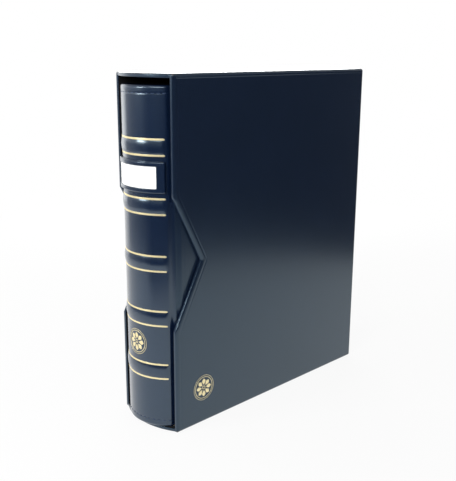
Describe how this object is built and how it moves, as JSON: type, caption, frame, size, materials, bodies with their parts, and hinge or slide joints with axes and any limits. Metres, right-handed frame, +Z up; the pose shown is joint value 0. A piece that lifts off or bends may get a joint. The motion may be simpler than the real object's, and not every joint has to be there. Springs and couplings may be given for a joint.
{
  "type": "stamp album in slipcase",
  "caption": "Ring-bound stamp album with a rounded, banded spine and a label holder, standing in a slipcase with V-shaped thumb notches.",
  "frame": {"origin": "middle of the slipcase's underside", "axes": "+Z up along the spine, the spine faces -Y out of the slipcase's mouth, +X from the back cover to the front cover"},
  "size_m": [0.0792, 0.2844, 0.33],
  "materials": {
    "leatherette": "smooth calendered leatherette, semi-gloss, navy",
    "binders_board": "grey chipboard",
    "black_paper": "matt black lining paper",
    "spine_foam": "closed-cell padding",
    "gilt_foil": "hot-pressed pale gold foil",
    "clear_film": "clear film",
    "white_card": "white index card",
    "endpaper": "dark endpaper",
    "nickel_plate": "bright nickel-plated steel",
    "blade_steel": "zinc-plated spring steel strip",
    "bed_board": "dense shaped board",
    "leaf_card": "black stock-leaf card"
  },
  "bodies": {
    "slipcase": {"case_right_board": "binders_board", "case_left_board": "binders_board", "case_back_board": "binders_board", "case_top_board": "binders_board", "case_bottom_board": "binders_board", "case_wrap": "leatherette", "case_top_cover": "leatherette", "case_bottom_cover": "leatherette", "case_right_lining": "black_paper", "case_left_lining": "black_paper", "case_bottom_lining": "black_paper", "case_top_lining": "black_paper", "case_back_lining": "black_paper"},
    "album": {"spine_leather": "leatherette", "spine_padding": "spine_foam", "spine_board": "binders_board", "spine_lining": "endpaper", "spine_gilt_lines": "gilt_foil", "label_frame": "leatherette", "label_window": "clear_film", "front_hinge_strip": "leatherette", "back_hinge_strip": "leatherette", "mechanism_bed": "bed_board", "ring_channel": "nickel_plate", "channel_rivets": "nickel_plate", "upper_lever_pin": "nickel_plate", "lower_lever_pin": "nickel_plate"},
    "front_cover": {"front_cover_leather": "leatherette", "front_cover_board": "binders_board", "front_endpaper": "endpaper"},
    "back_cover": {"back_cover_leather": "leatherette", "back_cover_board": "binders_board", "back_endpaper": "endpaper"},
    "right_ring_half": {"right_ring_blade": "blade_steel", "right_half_rings": "nickel_plate"},
    "left_ring_half": {"left_ring_blade": "blade_steel", "left_half_rings": "nickel_plate"},
    "upper_opening_lever": {"upper_lever": "nickel_plate"},
    "lower_opening_lever": {"lower_lever": "nickel_plate"},
    "index_card": {"label_card": "white_card"},
    "leaves": {"stock_leaf_1": "leaf_card", "pocket_strips_1": "clear_film", "stock_leaf_2": "leaf_card", "pocket_strips_2": "clear_film", "stock_leaf_3": "leaf_card", "pocket_strips_3": "clear_film", "stock_leaf_4": "leaf_card", "pocket_strips_4": "clear_film", "stock_leaf_5": "leaf_card", "pocket_strips_5": "clear_film", "stock_leaf_6": "leaf_card", "pocket_strips_6": "clear_film", "stock_leaf_7": "leaf_card", "pocket_strips_7": "clear_film", "stock_leaf_8": "leaf_card", "pocket_strips_8": "clear_film"}
  },
  "joints": [
    {"name": "album_slide", "type": "slide", "parent": "slipcase", "child": "album", "axis": [0, -1, 0], "range_m": [0, 0.275]},
    {"name": "front_cover_swing", "type": "hinge", "parent": "album", "child": "front_cover", "pos_m": [0.03485, -0.11896, 0], "axis": [0, 0, 1], "range_deg": [0, 2.5], "stiffness_Nm_per_rad": 0.5},
    {"name": "back_cover_swing", "type": "hinge", "parent": "album", "child": "back_cover", "pos_m": [-0.03485, -0.11896, 0], "axis": [0, 0, -1], "range_deg": [0, 2.5], "stiffness_Nm_per_rad": 0.5},
    {"name": "right_ring_swing", "type": "hinge", "parent": "album", "child": "right_ring_half", "pos_m": [0.0087, -0.1371, 0], "axis": [0, 0, -1], "range_deg": [0, 9]},
    {"name": "left_ring_swing", "type": "hinge", "parent": "album", "child": "left_ring_half", "pos_m": [-0.0087, -0.1371, 0], "axis": [0, 0, 1], "range_deg": [0, 9]},
    {"name": "upper_lever_press", "type": "hinge", "parent": "album", "child": "upper_opening_lever", "pos_m": [0, -0.1371, 0.2968], "axis": [1, 0, 0], "range_deg": [0, 18]},
    {"name": "lower_lever_press", "type": "hinge", "parent": "album", "child": "lower_opening_lever", "pos_m": [0, -0.1371, 0.0258], "axis": [-1, 0, 0], "range_deg": [0, 18]},
    {"name": "leaf_swing", "type": "hinge", "parent": "album", "child": "leaves", "pos_m": [0, -0.09162, 0], "axis": [0, 0, 1], "range_deg": [-2.5, 2.5]},
    {"name": "label_card_slide", "type": "slide", "parent": "album", "child": "index_card", "axis": [0, 0, 1], "range_m": [0, 0.022]}
  ],
  "couplings": [
    {"joint": "left_ring_swing", "follows": "right_ring_swing", "ratio": 1},
    {"joint": "upper_lever_press", "follows": "right_ring_swing", "ratio": 2},
    {"joint": "lower_lever_press", "follows": "right_ring_swing", "ratio": 2}
  ]
}
